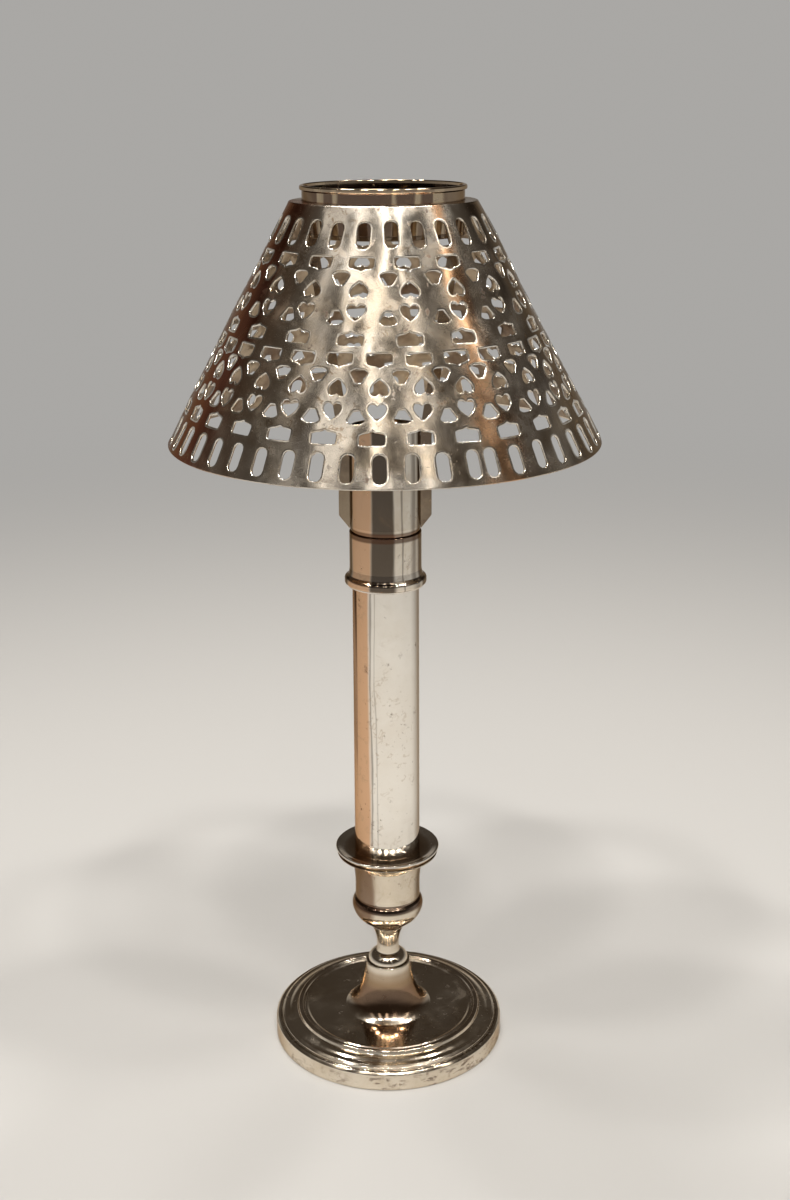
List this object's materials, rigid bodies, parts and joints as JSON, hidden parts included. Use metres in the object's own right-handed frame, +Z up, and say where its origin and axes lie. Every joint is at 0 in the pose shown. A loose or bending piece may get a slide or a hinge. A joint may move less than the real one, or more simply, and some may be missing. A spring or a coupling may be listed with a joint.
{
  "type": "candle lamp",
  "caption": "Candlestick lamp with a turned weighted foot, drip pan, sprung candle tube and a pierced conical shade held over the flame on an armed carrier.",
  "frame": {"origin": "centre of the resting face, on the lamp's axis", "axes": "+Z up along the lamp's axis, -Y towards the front, +X to the right, through the carrier's arms"},
  "size_m": [0.1528, 0.1528, 0.3181],
  "materials": {
    "silver_plate": "polished silver plate, warm with tarnish",
    "shade_plate": "polished silver plate, blotched brown",
    "foot_filling": "rough cast",
    "baize": "felted cloth",
    "steel": "drawn wire and turned rod",
    "wax": "candle wax",
    "cotton": "braided wick"
  },
  "bodies": {
    "candlestick": {"foot_shell": "silver_plate", "foot_weight": "foot_filling", "baize_pad": "baize", "stem": "silver_plate", "socket_cup": "silver_plate", "tie_rod": "steel", "tie_nut": "steel"},
    "nozzle": {"drip_pan": "silver_plate"},
    "tube": {"candle_tube": "silver_plate", "tube_foot": "silver_plate"},
    "follower": {"candle_follower": "silver_plate", "candle": "wax", "wick": "cotton", "follower_spring": "steel"},
    "cap": {"tube_cap": "silver_plate", "bayonet_pins": "silver_plate"},
    "carrier": {"carrier_sleeve": "silver_plate", "carrier_arm_right": "silver_plate", "carrier_arm_left": "silver_plate", "carrier_ring": "silver_plate"},
    "shade": {"shade_collar": "shade_plate", "shade_sheet": "shade_plate"}
  },
  "joints": [
    {"name": "nozzle_lift", "type": "slide", "parent": "candlestick", "child": "nozzle", "axis": [0, 0, 1], "range_m": [0, 0.025]},
    {"name": "tube_lift", "type": "slide", "parent": "nozzle", "child": "tube", "axis": [0, 0, 1], "range_m": [0, 0.03]},
    {"name": "follower_travel", "type": "slide", "parent": "tube", "child": "follower", "axis": [0, 0, 1], "range_m": [-0.08, 0], "stiffness_N_per_m": 30, "springref_m": 0.05, "deforming": ["follower_spring"]},
    {"name": "cap_turn", "type": "hinge", "parent": "tube", "child": "cap", "pos_m": [0, 0, 0.1954], "axis": [0, 0, 1], "range_deg": [0, 25]},
    {"name": "carrier_lift", "type": "slide", "parent": "cap", "child": "carrier", "axis": [0, 0, 1], "range_m": [0, 0.045]},
    {"name": "shade_lift", "type": "slide", "parent": "carrier", "child": "shade", "axis": [0, 0, 1], "range_m": [0, 0.09]}
  ]
}
